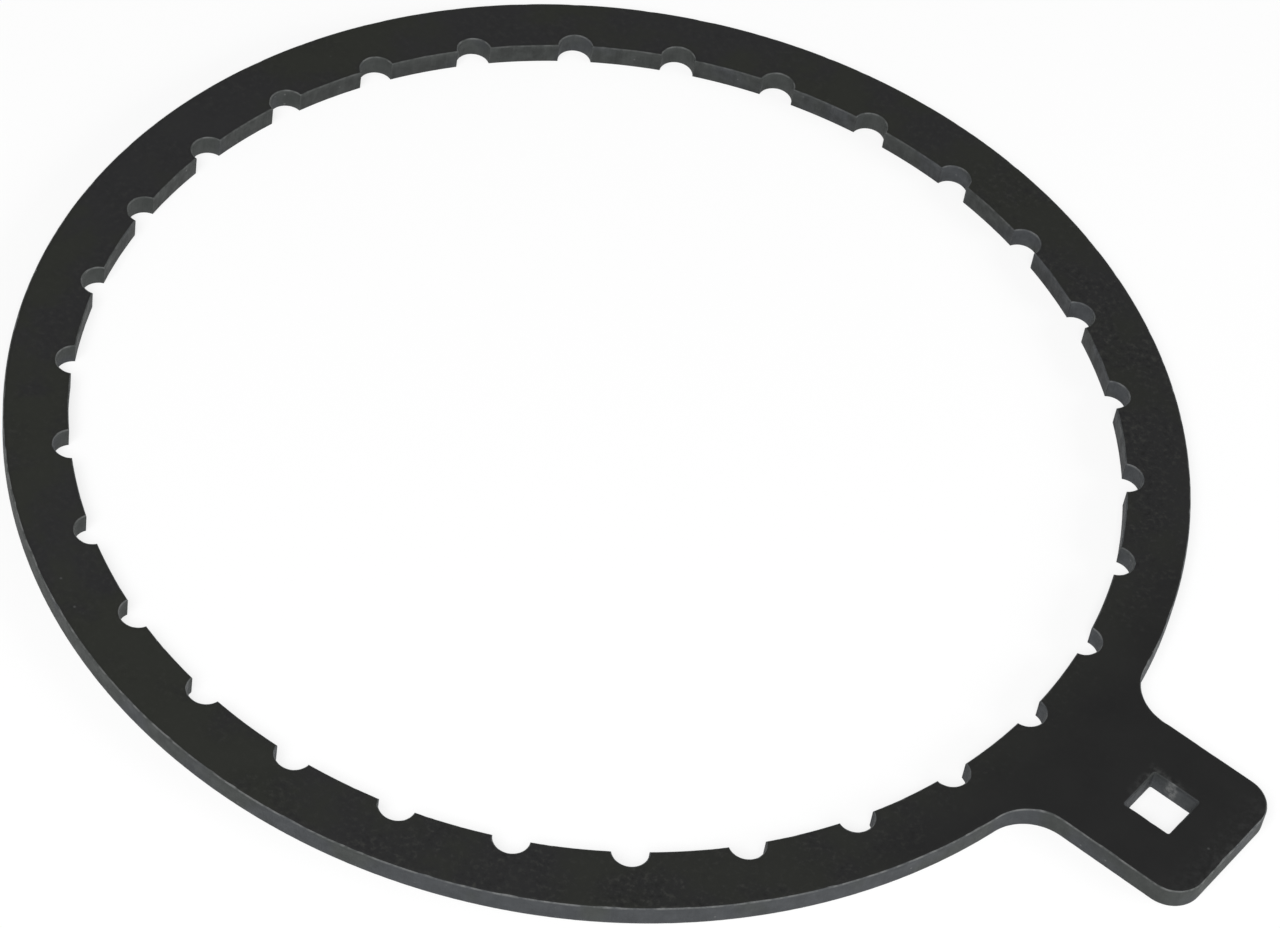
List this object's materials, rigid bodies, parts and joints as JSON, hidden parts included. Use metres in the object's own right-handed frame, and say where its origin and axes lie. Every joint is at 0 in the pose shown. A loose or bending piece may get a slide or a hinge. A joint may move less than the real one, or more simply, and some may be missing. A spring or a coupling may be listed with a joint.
{
  "type": "filter housing wrench",
  "caption": "Flat steel ring spanner for a ribbed filter housing: notched round opening and a short tab with a square drive hole.",
  "frame": {"origin": "centre of the ring's round opening, half way through the plate", "axes": "+X runs along the tab, +Z is the plate's normal and points up when the wrench lies flat, +Y completes the right hand"},
  "size_m": [0.3468, 0.303, 0.006],
  "materials": {
    "blackened_steel": "matte"
  },
  "bodies": {
    "root": {"wrench_plate": "blackened_steel"}
  },
  "joints": []
}
